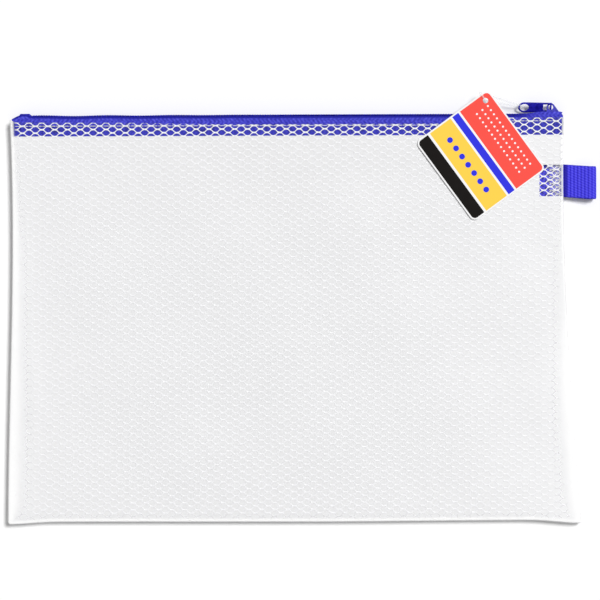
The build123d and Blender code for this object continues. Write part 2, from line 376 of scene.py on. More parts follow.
def unit(ways):
    return ways / np.linalg.norm(ways, axis=-1, keepdims=True)


def joined_runs(stops, counts):
    """Places from stop to stop, with the given count of points in each run, ends included."""
    runs = [np.linspace(start, end, count)[1:] for start, end, count in zip(stops, stops[1:], counts)]
    return np.concatenate([stops[:1], *runs])


left_line = polynomial_through(left_stations)
right_edge = polynomial_through(right_stations)


def left_edge(y):
    """Left side of the pocket, drawn in at its rounded lower corner."""
    drop = np.clip((bottom_stations[0][1] + corner_rise - y) / corner_rise, 0, 1)
    return left_line(y) + corner_inset * drop ** 2


def bottom_edge(x):
    return smooth_through(x, bottom_stations)


def panel_edge(x):
    return smooth_through(x, panel_edge_stations)


def side_round(y):
    """Width over which a side turns down, which grows towards the bottom."""
    share = np.clip((mouth_y - y) / (mouth_y - bottom_y), 0, 1)
    return round_at_mouth + (round_at_bottom - round_at_mouth) * share


def quarter_arc(width, height):
    return math.pi / 2 * np.sqrt((width ** 2 + height ** 2) / 2)


def fold(distance, width):
    """Inset from the outline and share of the full height, at a distance in from the seam."""
    arc = quarter_arc(width, film_half)
    angle = np.clip(distance / arc, 0, 1) * math.pi / 2
    pinch = seam_pinch * np.clip(1 - distance / seam_pinch_reach, 0, 1) ** 2
    outside = width * (1 - np.cos(angle)) + pinch + np.maximum(distance - arc, 0)
    inset = np.where(distance < 0, seam_pinch - distance, outside)
    return inset, np.sin(angle)


def seam_distances(u, v):
    """Distances in from the left, right and bottom seams along the flat sheet, and the level."""
    bottom = bottom_edge(u)
    from_bottom = v - (bottom + bottom_round - quarter_arc(bottom_round, film_half))
    y = bottom + fold(from_bottom, bottom_round)[0]
    width = side_round(y)
    reach = quarter_arc(width, film_half) - width
    from_left = u - (left_edge(y) - reach)
    from_right = right_edge(y) + reach - u
    return from_left, from_right, from_bottom, y


def past_folds(u, v):
    """How far inside the left, right and bottom folds a place lies, in widths of their bands."""
    from_left, from_right, from_bottom, y = seam_distances(u, v)
    arc = quarter_arc(side_round(y), film_half)
    past_left = (from_left - arc) / smooth_through(y, left_band_stations)
    past_right = (from_right - arc) / smooth_through(y, right_band_stations)
    past_bottom = (from_bottom - quarter_arc(bottom_round, film_half)) / bottom_band
    return past_left, past_right, past_bottom


def film_highlight(u, v):
    """Painted highlight of the film beside its folds: 1 along a fold, fading to 0 inside."""
    left, right, bottom = [
        1 - smooth_step((past - band_plateau_share) / (1 - band_plateau_share)) for past in past_folds(u, v)
    ]
    from_left, from_right, from_bottom, y = seam_distances(u, v)
    highlight = np.maximum(np.maximum(left, bottom), right * smooth_through(y, right_fold_shares))
    return np.where(np.minimum(np.minimum(from_left, from_right), from_bottom) < 0, 0, highlight)


def painted_film_light(u, v):
    """Painted light: whiteness added to the film towards its sides, more on the right, and beside the folds
    there.
    """
    past_left, past_right = past_folds(u, v)[:2]
    left = left_glow_share * np.clip((glow_centre_x - u) / (glow_centre_x - left_glow_x), 0, 1) ** 2
    right = right_glow_share * np.clip((u - glow_centre_x) / (right_glow_x - glow_centre_x), 0, 1) ** 2
    beside_left = 1 - smooth_step(past_left / fold_glow_bands)
    beside_right = 1 - smooth_step(past_right / fold_glow_bands)
    beside_right = beside_right * smooth_through(seam_distances(u, v)[3], right_fold_shares)
    return left + right + fold_glow_share * np.maximum(beside_left, beside_right)


def face_strength(u, v):
    """How plainly the net shows on a face: fully inside, fading out beside the folds where the painted
    highlight lies.
    """
    past_left, past_right, past_bottom = past_folds(u, v)
    past_side = np.minimum(past_left, past_right)
    return smooth_step(past_side - net_start_share) * smooth_step(past_bottom - net_start_share)


def net_strength(u, v):
    """How plainly the net shows on a face and, over the webbing, on the seam."""
    return np.where(seam_distances(u, v)[1] < 0, 1, face_strength(u, v))


def ripple(u, v, from_left, from_right, from_bottom):
    """Slow waves of the front sheet, still at its edges and over the tape."""
    inward = np.minimum(np.minimum(from_left, from_right), from_bottom)
    still = smooth_step(inward / ripple_fade) * smooth_step((tape_low_y - v) / ripple_fade)
    across, up = u / ripple_length_x, v / ripple_length_y
    wave = np.sin(2 * math.pi * (across + ripple_lean_share * up))
    wave = wave + np.sin(2 * math.pi * (up - ripple_cross_share * across))
    return -ripple_height * still * (1 + wave / 2)


def sheet_point(u, v, side):
    """Point on a panel's outer face from its place on the flat sheet. Side 1 is in front, -1 behind."""
    from_left, from_right, from_bottom, y = seam_distances(u, v)
    width = side_round(y)
    inset_left, rise_left = fold(from_left, width)
    inset_right, rise_right = fold(from_right, width)
    rise_bottom = fold(from_bottom, bottom_round)[1]
    x = np.where(from_left < from_right, left_edge(y) + inset_left, right_edge(y) - inset_right)
    height = film_half * rise_left * rise_right * rise_bottom
    if side > 0:
        height = height + ripple(u, v, from_left, from_right, from_bottom)
    beside_webbing = np.maximum(webbing_low_y - y, y - webbing_high_y)
    bulge = webbing_bulge * smooth_step(1 - beside_webbing / webbing_bulge_ramp)
    side_gap = allowance_gap + np.where(from_right < 0, bulge, 0)
    sideways = np.clip(-np.minimum(from_left, from_right) / allowance_ramp, 0, 1)
    height = height + side_gap * sideways
    height = height + bottom_allowance_gap * np.clip(-from_bottom / allowance_ramp, 0, 1)
    return stacked(x, y, middle_z + side * height)


def lifted_point(u, v, side, lift):
    """Sheet point moved along the sheet's outward direction."""
    along = sheet_point(u + probe_step, v, side) - sheet_point(u - probe_step, v, side)
    across = sheet_point(u, v + probe_step, side) - sheet_point(u, v - probe_step, side)
    outward = side * np.cross(along, across)
    length = np.linalg.norm(outward, axis=-1, keepdims=True)
    return sheet_point(u, v, side) + lift * outward / np.maximum(length, probe_step ** 3)


def mesh_piece(name, points, faces, material, merge=0, crease_degrees=None, values=None):
    """Mesh object with smooth shading; close points are merged where a distance is given."""
    mesh = bpy.data.meshes.new(name)
    mesh.from_pydata(np.asarray(points, float).reshape(-1, 3).tolist(), [], faces)
    for title, numbers in (values or {}).items():
        layer = mesh.attributes.new(title, "FLOAT", "POINT")
        layer.data.foreach_set("value", np.asarray(numbers, np.float32).ravel())
    if merge:
        build = bmesh.new()
        build.from_mesh(mesh)
        bmesh.ops.remove_doubles(build, verts=build.verts, dist=merge)
        bmesh.ops.dissolve_degenerate(build, dist=merge, edges=build.edges)
        loose = [point for point in build.verts if not point.link_faces]
        bmesh.ops.delete(build, geom=loose, context="VERTS")
        build.to_mesh(mesh)
        build.free()
    mesh.validate()
    mesh.polygons.foreach_set("use_smooth", [True] * len(mesh.polygons))
    if crease_degrees is not None:
        mesh.set_sharp_from_angle(angle=math.radians(crease_degrees))
    piece = bpy.data.objects.new(name, mesh)
    bpy.context.scene.collection.objects.link(piece)
    piece.data.materials.append(material)
    return piece


def swept_faces(count, ring):
    """Quads between successive rings of points, with a cap at each end."""
    faces = []
    for here in range(0, (count - 1) * ring, ring):
        for point in range(ring):
            following = (point + 1) % ring
            faces.append([here + point, here + following, here + ring + following, here + ring + point])
    faces.append(list(range(ring))[::-1])
    faces.append(list(range((count - 1) * ring, count * ring)))
    return faces


def tube_points(path, radius, reference):
    """Rings of points round a path."""
    ahead = unit(np.gradient(path, axis=0))
    first = unit(reference - ahead * (ahead @ reference)[:, None])
    second = np.cross(ahead, first)
    angles = np.arange(wire_sides)[:, None] * 2 * math.pi / wire_sides
    return path[:, None] + radius * (first[:, None] * np.cos(angles) + second[:, None] * np.sin(angles))


# Materials

def give(node, name, value):
    """Sets an input of a node to a constant, or links it to a socket."""
    if isinstance(value, bpy.types.NodeSocket):
        node.id_data.links.new(value, node.inputs[name])
    else:
        node.inputs[name].default_value = value


def plain_material(name, colour, roughness, specular=0.5):
    material = bpy.data.materials.new(name)
    material.use_nodes = True
    shader = material.node_tree.nodes["Principled BSDF"]
    give(shader, "Base Color", colour)
    give(shader, "Roughness", roughness)
    give(shader, "Specular IOR Level", specular)
    return material, material.node_tree, shader


def place_socket(tree):
    return tree.nodes.new("ShaderNodeTexCoord").outputs["Object"]


def noise_socket(tree, cells, detail=3.0):
    """Noise with about so many cells in a metre."""
    noise = tree.nodes.new("ShaderNodeTexNoise")
    give(noise, "Scale", cells)
    give(noise, "Detail", detail)
    give(noise, "Vector", place_socket(tree))
    return noise.outputs["Fac"]


def math_socket(tree, operation, *values):
    node = tree.nodes.new("ShaderNodeMath")
    node.operation = operation
    for index, value in enumerate(values):
        give(node, index, value)
    return node.outputs[0]


def product(tree, first, second):
    return math_socket(tree, "MULTIPLY", first, second)


def total(tree, first, second):
    return math_socket(tree, "ADD", first, second)


def rest_of(tree, share):
    """What a share leaves of 1."""
    return math_socket(tree, "SUBTRACT", 1, share)


def mixed_value(tree, share, low, high):
    return total(tree, product(tree, low, rest_of(tree, share)), product(tree, high, share))


def ramp_socket(tree, factor, stops, interpolation="LINEAR"):
    """Colour ramp through (position, colour) stops."""
    node = tree.nodes.new("ShaderNodeValToRGB")
    ramp = node.color_ramp
    ramp.interpolation = interpolation
    while len(ramp.elements) < len(stops):
        ramp.elements.new(1)
    for element, (position, colour) in zip(ramp.elements, stops):
        element.position = position
        element.color = colour
    give(node, "Fac", factor)
    return node.outputs["Color"]


def mixed_colour(tree, factor, low, high):
    node = tree.nodes.new("ShaderNodeMix")
    node.data_type = "RGBA"
    give(node, "Factor", factor)
    colour_inputs = [index for index, socket in enumerate(node.inputs) if socket.type == "RGBA"]
    for index, value in zip(colour_inputs, (low, high)):
        give(node, index, value)
    return [socket for socket in node.outputs if socket.type == "RGBA"][0]


def add_bump(tree, shader, height, strength, depth):
    bump = tree.nodes.new("ShaderNodeBump")
    give(bump, "Strength", strength)
    give(bump, "Distance", depth)
    give(bump, "Height", height)
    give(shader, "Normal", bump.outputs["Normal"])


def range_socket(tree, value, low, high, from_low=0, from_high=1):
    """Value carried over from one range to another, and held at the ends."""
    node = tree.nodes.new("ShaderNodeMapRange")
    names = ("Value", "From Min", "From Max", "To Min", "To Max")
    for name, given in zip(names, (value, from_low, from_high, low, high)):
        give(node, name, given)
    return node.outputs["Result"]


def stripes_socket(tree, direction, pitch):
    """Wave from 0 to 1 across a direction, one crest a pitch."""
    dot = tree.nodes.new("ShaderNodeVectorMath")
    dot.operation = "DOT_PRODUCT"
    give(dot, 0, place_socket(tree))
    give(dot, 1, Vector(direction).normalized() * (2 * math.pi / pitch))
    return range_socket(tree, math_socket(tree, "SINE", dot.outputs["Value"]), 0, 1, from_low=-1)


def split_sockets(tree, vector):
    node = tree.nodes.new("ShaderNodeSeparateXYZ")
    give(node, "Vector", vector)
    return node.outputs["X"], node.outputs["Y"], node.outputs["Z"]


def value_socket(tree, name):
    """Value that a mesh carries at its points."""
    node = tree.nodes.new("ShaderNodeAttribute")
    node.attribute_name = name
    return node.outputs["Fac"]


def mixed_shader(tree, share, first, second):
    node = tree.nodes.new("ShaderNodeMixShader")
    for index, value in enumerate((share, first, second)):
        give(node, index, value)
    return node.outputs["Shader"]


def let_light_through(tree, shader, opacity, through, colour):
    """Lets a surface scatter a part of its light to the far side, and leaves the rest of it clear."""
    far_side = tree.nodes.new("ShaderNodeBsdfTranslucent")
    give(far_side, "Color", colour)
    clear = tree.nodes.new("ShaderNodeBsdfTransparent")
    body = mixed_shader(tree, through, shader.outputs["BSDF"], far_side.outputs["BSDF"])
    whole = mixed_shader(tree, opacity, clear.outputs["BSDF"], body)
    give(tree.nodes["Material Output"], "Surface", whole)


def touched_socket(tree):
    """1 where tape or webbing lies behind the film, which looks clear there, and 0 elsewhere."""
    x, y = split_sockets(tree, place_socket(tree))[:2]
    over_tape = math_socket(tree, "GREATER_THAN", y, tape_low_y + touch_inset)
    beyond_end = math_socket(tree, "GREATER_THAN", x, webbing_start_x + touch_inset)
    above = math_socket(tree, "GREATER_THAN", y, webbing_low_y + touch_inset)
    below = math_socket(tree, "LESS_THAN", y, webbing_high_y - touch_inset)
    # Painted paleness: the film clears less over the webbing towards the right fold
    highlight_veil = range_socket(tree, x, 1, 1 - highlight_veil_share, highlight_veil_start_x, highlight_veil_end_x)
    over_webbing = product(tree, product(tree, beyond_end, product(tree, above, below)), highlight_veil)
    return math_socket(tree, "MAXIMUM", over_tape, over_webbing)


def film_material():
    """Film that is milky over air, clear over what touches it, and white along its folds as a painted
    highlight.
    """
    material, tree, shader = plain_material("milky_film", film_tint, roughness=0.22)
    milk = range_socket(tree, noise_socket(tree, cells=45), film_milk_low, film_milk_high)
    # Painted light added to the film's milk towards its sides and beside its folds
    milk = total(tree, milk, value_socket(tree, "painted_light"))
    haze = total(tree, product(tree, milk, rest_of(tree, touched_socket(tree))), film_clear)
    # Painted highlight: along the folds the film turns opaque white and lets no light through
    highlight = value_socket(tree, "highlight")
    beyond_fold = rest_of(tree, product(tree, highlight, fold_alpha))
    opacity = rest_of(tree, product(tree, rest_of(tree, haze), beyond_fold))
    through = range_socket(tree, highlight, film_through_share, fold_through_share)
    let_light_through(tree, shader, opacity, through, film_white)
    give(shader, "Base Color", mixed_colour(tree, highlight, film_tint, film_white))
    give(shader, "Roughness", range_socket(tree, noise_socket(tree, cells=160), low=0.16, high=0.32))
    add_bump(tree, shader, noise_socket(tree, cells=70), strength=0.2, depth=film_dent_depth)
    return material


def net_material():
    material, tree, shader = plain_material("white_net", net_white, roughness=0.38)
    cloud = noise_socket(tree, cells=900)
    give(shader, "Base Color", ramp_socket(tree, cloud, [(0.3, net_shade), (0.6, net_white)]))
    through = range_socket(tree, cloud, 0, 2 * net_through_share)
    let_light_through(tree, shader, value_socket(tree, "strength"), through, net_white)
    add_bump(tree, shader, noise_socket(tree, cells=2500), strength=0.25, depth=fine_depth)
    return material


def tape_material():
    """Herringbone twill, with painted shade where film lies over it and along the top of its fold and its
    left sloping end.
    """
    material, tree, shader = plain_material("zipper_tape", tape_blue, roughness=0.72, specular=0.2)
    down = stripes_socket(tree, (1, twill_lean_share, 0), twill_pitch)
    up = stripes_socket(tree, (1, -twill_lean_share, 0), twill_pitch)
    bands = stripes_socket(tree, (twill_band_lean_share, 1, 0), twill_band_pitch)
    bands = math_socket(tree, "GREATER_THAN", bands, twill_band_share)
    twill = mixed_value(tree, bands, up, down)
    worn = mixed_value(tree, twill_wear_share, noise_socket(tree, cells=620), twill)
    bare = ramp_socket(tree, worn, [(0.25, tape_shade), (0.5, tape_blue), (0.75, tape_light)])
    film_shade = ramp_socket(tree, worn, [(0.25, film_shaded_dark), (0.5, film_shaded_blue), (0.75, film_shaded_light)])
    # Painted shade on the tape where the film lies over it
    colour = mixed_colour(tree, value_socket(tree, "film_shade"), bare, film_shade)
    # Painted shade along the top of the fold and the left sloping end
    give(shader, "Base Color", mixed_colour(tree, value_socket(tree, "fold_shade"), colour, fold_shade_navy))
    add_bump(tree, shader, twill, strength=0.5, depth=twill_depth)
    return material


def chain_material():
    material, tree, shader = plain_material("zipper_loops", chain_blue, roughness=0.5, specular=0.2)
    cloud = noise_socket(tree, cells=700)
    give(shader, "Base Color", ramp_socket(tree, cloud, [(0.35, chain_shade), (0.65, chain_blue)]))
    add_bump(tree, shader, noise_socket(tree, cells=3000), strength=0.2, depth=fine_depth)
    return material


def enamel_material():
    material, tree, shader = plain_material("painted_slider", enamel_blue, roughness=0.34, specular=0.2)
    cloud = noise_socket(tree, cells=500)
    give(shader, "Base Color", ramp_socket(tree, cloud, [(0.35, enamel_shade), (0.62, enamel_blue)]))
    give(shader, "Roughness", range_socket(tree, noise_socket(tree, cells=900), low=0.24, high=0.48))
    give(shader, "Coat Weight", 0.05)
    give(shader, "Coat Roughness", 0.25)
    add_bump(tree, shader, noise_socket(tree, cells=1200), strength=0.12, depth=fine_depth)
    return material


def webbing_material():
    """Ribbed weave with knots along each rib, with painted shade in the grooves and painted light on the
    crests, painted shade at the seam, and darker along its selvages.
    """
    material, tree, shader = plain_material("webbing", webbing_blue, roughness=0.78, specular=0.2)
    knots = stripes_socket(tree, (knot_lean_share, 1, 0), knot_pitch)
    # Painted shade in the grooves between ribs and painted light on their crests
    rib = value_socket(tree, "rib")
    weave = total(tree, product(tree, rib, rib_shade_share), product(tree, knots, knot_wear_share))
    wear = product(tree, noise_socket(tree, cells=600), 1 - rib_shade_share - knot_wear_share)
    stops = [(0.2, webbing_shade), (0.55, webbing_blue), (0.85, webbing_light)]
    colour = ramp_socket(tree, total(tree, weave, wear), stops)
    # Painted shade beside the seam, and darker selvages
    give(shader, "Base Color", mixed_colour(tree, value_socket(tree, "shaded"), colour, webbing_dark))
    add_bump(tree, shader, knots, strength=0.6, depth=knot_depth)
    return material


def thread_material():
    material, tree, shader = plain_material("white_thread", thread_white, roughness=0.62)
    twist = stripes_socket(tree, twist_lean_shares, twist_pitch)
    give(shader, "Base Color", ramp_socket(tree, twist, [(0.0, net_shade), (0.6, thread_white)]))
    add_bump(tree, shader, twist, strength=0.4, depth=fine_depth)
    return material


def clear_loop_material():
    material, tree, shader = plain_material("clear_loop", loop_clear, roughness=0.18)
    give(shader, "Alpha", range_socket(tree, noise_socket(tree, cells=300), low=0.14, high=0.3))
    add_bump(tree, shader, noise_socket(tree, cells=800), strength=0.1, depth=fine_depth)
    return material


def tag_place(tree):
    """Tag coordinates: along its length and across its width, in metres from its centre."""
    mapping = tree.nodes.new("ShaderNodeMapping")
    mapping.vector_type = "TEXTURE"
    give(mapping, "Location", (*tag_centre, 0))
    give(mapping, "Rotation", (0, 0, math.radians(tag_turn_degrees)))
    give(mapping, "Vector", place_socket(tree))
    return split_sockets(tree, mapping.outputs["Vector"])[:2]


def squared_sum(tree, first, second):
    return total(tree, product(tree, first, first), product(tree, second, second))


def dot_row(tree, along, across, level, pitch, radius):
    """1 in the dots of a row along the tag."""
    beside = math_socket(tree, "PINGPONG", along, pitch / 2)
    above = math_socket(tree, "SUBTRACT", across, level)
    in_dot = math_socket(tree, "LESS_THAN", squared_sum(tree, beside, above), radius ** 2)
    in_run = math_socket(tree, "LESS_THAN", math_socket(tree, "ABSOLUTE", along), tag_dot_run)
    return product(tree, in_dot, in_run)


def past_corner(tree, place, half):
    """How far a place reaches into the rounding at either end of a side."""
    beyond = math_socket(tree, "SUBTRACT", math_socket(tree, "ABSOLUTE", place), half - tag_corner)
    return math_socket(tree, "MAXIMUM", beyond, 0)


def tag_material():
    """Coated card with plain straight bands and rows of dots inside a white border."""
    material, tree, shader = plain_material("tag_card", card_white, roughness=0.3, specular=0.06)
    along, across = tag_place(tree)
    share = range_socket(tree, across, 0, 1, -tag_half_width, tag_half_width)
    colour = ramp_socket(tree, share, tag_band_shares, interpolation="CONSTANT")
    for level, pitch, radius, dot_colour in tag_dot_rows:
        colour = mixed_colour(tree, dot_row(tree, along, across, level, pitch, radius), colour, dot_colour)
    past_end = past_corner(tree, along, tag_half_length)
    past_side = past_corner(tree, across, tag_half_width)
    corner = squared_sum(tree, past_end, past_side)
    inside = math_socket(tree, "LESS_THAN", corner, (tag_corner - tag_border) ** 2)
    normal = tree.nodes.new("ShaderNodeNewGeometry").outputs["True Normal"]
    on_top = math_socket(tree, "GREATER_THAN", split_sockets(tree, normal)[2], facing_up_share)
    printed = product(tree, inside, on_top)
    give(shader, "Base Color", mixed_colour(tree, printed, card_white, colour))
    give(shader, "Roughness", range_socket(tree, noise_socket(tree, cells=260), low=0.5, high=0.65))
    add_bump(tree, shader, noise_socket(tree, cells=900), strength=0.05, depth=fine_depth)
    return material


def seen_socket(tree):
    """1 for rays that show the background to the camera, straight or by reflection."""
    path = tree.nodes.new("ShaderNodeLightPath")
    seen = math_socket(tree, "MAXIMUM", path.outputs["Is Camera Ray"], path.outputs["Is Glossy Ray"])
    return math_socket(tree, "MAXIMUM", seen, path.outputs["Is Transmission Ray"])


def floor_material():
    material, tree, shader = plain_material("floor", bright_white, roughness=0.9, specular=0)
    seen = seen_socket(tree)
    give(shader, "Base Color", mixed_colour(tree, seen, floor_bounce, bright_white))
    give(shader, "Emission Color", bright_white)
    give(shader, "Emission Strength", product(tree, seen, floor_glow_strength))
    return material


# Pieces

def film_columns(y):
    """Columns of the flat sheet at one level: allowance, rounded side, band, face and back again."""
    width = side_round(y)
    arc = quarter_arc(width, film_half)
    margin = joined_runs([-allowance, 0, arc, arc + left_band_stations[1][1]], side_run_points)
    left_seam = left_edge(y) + width - arc
    right_seam = right_edge(y) - width + arc
    face = np.linspace(left_seam + margin[-1], right_seam - margin[-1], face_columns)[1:-1]
    return np.concatenate([left_seam + margin, face, (right_seam - margin)[::-1]])


def film_rows(x):
    """Rows of the flat sheet over each column, from the bottom allowance to the mouth."""
    arc = quarter_arc(bottom_round, film_half)
    margin = joined_runs([-allowance, 0, arc, arc + bottom_band], bottom_run_points)
    low = bottom_edge(x) + bottom_round - arc + margin[:, None]
    shares = np.linspace(0, 1, face_rows)[1:, None]
    return np.concatenate([low, low[-1] + shares * (panel_edge(x) - low[-1])])


def film_sheet(name, side, material):
    """Closed sheet of film with its lower corners cut out, its flat size and its flat area."""
    v = film_rows(film_columns(0))
    levels = np.clip(v.mean(axis=1), bottom_y, mouth_y)
    u = np.stack([film_columns(level) for level in levels])
    points = np.concatenate([sheet_point(u, v, side), lifted_point(u, v, side, -film_thickness)])
    rows, count = u.shape
    turned_rows, turned_columns = bottom_run_points[0] - 1, side_run_points[0] - 1
    kept = np.ones((rows - 1, count - 1), bool)
    kept[:turned_rows, :turned_columns] = False
    kept[:turned_rows, -turned_columns:] = False
    faces = []
    edges = {}
    for row, column in np.argwhere(kept).tolist():
        corner = row * count + column
        face = [corner, corner + 1, corner + count + 1, corner + count]
        face = face if side > 0 else face[::-1]
        faces += [face, [point + rows * count for point in face[::-1]]]
        edges.update(dict.fromkeys(zip(face, face[1:] + face[:1])))
    for start, end in edges:
        if (end, start) not in edges:
            faces.append([end, start, start + rows * count, end + rows * count])
    values = {"highlight": np.tile(film_highlight(u, v), (2, 1)), "painted_light": np.tile(painted_film_light(u, v), (2, 1))}
    piece = mesh_piece(name, points, faces, material, weld, film_crease_degrees, values)
    return piece, (np.ptp(u), np.ptp(v)), (quad_areas(u, v) * kept).sum()


def quad_areas(u, v):
    """Areas of a grid's quads on the flat sheet."""
    rising_u, rising_v = u[1:, 1:] - u[:-1, :-1], v[1:, 1:] - v[:-1, :-1]
    falling_u, falling_v = u[:-1, 1:] - u[1:, :-1], v[:-1, 1:] - v[1:, :-1]
    return np.abs(rising_u * falling_v - rising_v * falling_u) / 2


def net_cells(tile):
    """Centres of the net's cells on the flat sheet, for cells of one outline."""
    across = int((right_stations[-1][1] - left_stations[-1][1]) / net_pitch_x) + 2 * net_spare_cells
    down = int(2 * (mouth_y - bottom_y) / net_pitch_y) + 4 * net_spare_cells
    rows, columns = np.arange(-net_spare_cells, down), np.arange(-net_spare_cells, across)
    row, column = np.meshgrid(rows, columns, indexing="ij")
    u = (net_start_x + (column + (row % 2) / 2) * net_pitch_x).ravel()
    v = (net_start_y - row * net_pitch_y / 2).ravel()
    from_left, from_right, from_bottom, y = seam_distances(u, v)
    on_face = (np.minimum(from_left, from_right) > net_margin) & (from_bottom > net_margin)
    beside_webbing = np.maximum(webbing_low_y - y, y - webbing_high_y) < net_beside_webbing
    on_seam = (from_right < 0) & (from_right > net_margin - allowance) & beside_webbing
    kept = (on_face | on_seam) & (v - net_pitch_y / 2 < panel_edge(u))
    kept &= on_seam | (face_strength(u[:, None] + tile[:, 0], v[:, None] + tile[:, 1]).max(axis=1) > 0)
    return u[kept], v[kept]


def unshared_sides(tile_u, tile_v):
    """True for each side of a cell that no other cell shares, told by the rounded places of the middles."""
    middle_u = tile_u + np.roll(tile_u, -1, axis=1)
    middle_v = tile_v + np.roll(tile_v, -1, axis=1)
    keys = np.floor(stacked(middle_u.ravel(), middle_v.ravel()) / probe_step + key_shift_share)
    _, inverse, counts = np.unique(keys, axis=0, return_inverse=True, return_counts=True)
    return (counts[inverse.ravel()] == 1).reshape(tile_u.shape)


def lens_outline(tip, shoulder_x, shoulder_y, top):
    """Eight corners of a lens, round from its right tip."""
    upper = [(tip, 0), (shoulder_x, shoulder_y), (0, top), (-shoulder_x, shoulder_y)]
    return np.array(upper + [(-x, -y) for x, y in upper])


def net_sheet(name, side, material):
    """White net as one closed lattice on a panel: each cell is a lens-shaped hole in a raised frame."""
    high = net_pitch_y / 2
    tile = lens_outline(cell_tip, net_pitch_x / 2 - cell_tip, high, high)
    hole = lens_outline(hole_tip, hole_shoulder_x, hole_shoulder_y, hole_half_height)
    u, v = net_cells(tile)
    tile_u, tile_v = u[:, None] + tile[:, 0], v[:, None] + tile[:, 1]
    hole_u, hole_v = u[:, None] + hole[:, 0], v[:, None] + hole[:, 1]
    on_rim = unshared_sides(tile_u, tile_v)
    tile_v = np.minimum(tile_v, panel_edge(tile_u))
    hole_v = np.minimum(hole_v, panel_edge(hole_u))
    top = lifted_point(tile_u, tile_v, side, ridge_height)
    low = lifted_point(tile_u, tile_v, side, -film_thickness / 2)
    inner = lifted_point(hole_u, hole_v, side, net_hole_lift)
    points = np.concatenate([top, low, inner], axis=1)
    on_tile = net_strength(tile_u, tile_v)
    strength = np.concatenate([on_tile, on_tile, net_strength(hole_u, hole_v)], axis=1)
    ring = len(tile)
    faces = []
    for cell in range(len(u)):
        first = cell * 3 * ring
        for index in range(ring):
            here, following = first + index, first + (index + 1) % ring
            upper = [here, following, following + 2 * ring, here + 2 * ring]
            lower = [here + ring, here + 2 * ring, following + 2 * ring, following + ring]
            made = [upper, lower]
            if on_rim[cell, index]:
                made.append([following, here, here + ring, following + ring])
            faces += made if side < 0 else [face[::-1] for face in made]
    return mesh_piece(name, points, faces, material, net_weld, net_crease_degrees, {"strength": strength})


def tape_outline(lengths):
    """Folded places, their outward directions and flat places, at lengths from the tape's lower edge."""
    angle = np.clip((lengths - tape_level_run) / tape_bend, 0, math.pi / 2)
    down = np.maximum(lengths - tape_level_run - tape_bend_run, 0)
    y = tape_low_y + np.minimum(lengths, tape_level_run) + tape_bend * np.sin(angle)
    z = tape_face_z - tape_bend * (1 - np.cos(angle)) - down
    normals = stacked(np.sin(angle), np.cos(angle))
    return stacked(y, z), normals, stacked(tape_low_y + lengths, tape_face_z)


def top_wave_height(x):
    """Height of the waves of the mouth's edge, which die out towards the slider."""
    return top_wave * smooth_step((top_wave_fade_x - x) / (top_wave_fade_x - tape_left_x))


def top_waves(x):
    """Slow waves of the mouth's edge."""
    return top_wave_height(x) * np.sin(2 * math.pi * x / top_wave_length)


def tape_rise(x):
    """Rise of the tape's fold along the mouth: a hump near its left end, and the waves."""
    return tape_hump * smooth_step(1 - np.abs(x - tape_hump_x) / tape_hump_reach) + top_waves(x)


def unfolding(x):
    """Share of the way from folded to unfolded, along the tape."""
    return smooth_step((x - unfold_start_x) / (unfold_end_x - unfold_start_x))


def tape_limit(x, top_y):
    """Level at which the tape's sloping ends cut it off."""
    if x < tape_left_slope_x:
        left_share = (x - tape_left_x) / (tape_left_slope_x - tape_left_x)
        return tape_left_low_y + (tape_fold_y + tape_hump - tape_left_low_y) * left_share
    right_share = np.clip((x - flap_slope_x) / (tape_right_x - flap_slope_x), 0, 1)
    return top_y + (flap_slope_low_y - top_y) * right_share


def zipper_tape(name, side, material):
    """Tape that folds from the panel round to the chain, and stands up unfolded beside the slider."""
    turn_end = tape_level_run + tape_bend_run
    lengths = joined_runs([0, tape_level_run, turn_end, turn_end + tape_down_run], tape_width_points)
    folded, normals, flat = tape_outline(lengths)
    stops = [tape_left_x, tape_left_slope_x, unfold_start_x, unfold_end_x, flap_slope_x, tape_right_x]
    rings, below_limit = [], []
    for x in joined_runs(stops, tape_length_points):
        share = unfold_share * unfolding(x)
        outer = folded * (1 - share) + flat * share
        inner = outer - unit(normals * (1 - share) + np.array([0, share])) * tape_thickness
        y, z = np.concatenate([outer, inner[::-1]]).T
        y = y + tape_rise(x) * smooth_step((y - tape_low_y) / (tape_fold_y - tape_low_y))
        limit = tape_limit(x, tape_low_y + lengths[-1])
        y = np.minimum(y, limit)
        below_limit.append(limit - y)
        rings.append(stacked(x, y, middle_z + side * (z - middle_z)))
    faces = swept_faces(len(rings), len(rings[0]))
    if side > 0:
        faces = [face[::-1] for face in faces]
    x, y = np.moveaxis(np.array(rings), -1, 0)[:2]
    # Painted shade where the film lies over the tape
    film_shade = smooth_step((panel_edge(x) - cover_inset - y) / cover_ramp)
    # Painted shade along the top of the fold, where the tape is folded, and along its left sloping end
    shade_on_fold = smooth_step((y - tape_rise(x) - dusk_y) / dusk_ramp) * (1 - unfolding(x))
    shade_on_slope = 1 - smooth_step((np.array(below_limit) - slope_line) / dusk_ramp)
    shade_on_slope = np.where(x < tape_left_slope_x, shade_on_slope, 0)
    values = {"film_shade": film_shade, "fold_shade": np.maximum(shade_on_fold, shade_on_slope)}
    piece = mesh_piece(name, rings, faces, material, weld, tape_crease_degrees, values)
    return piece


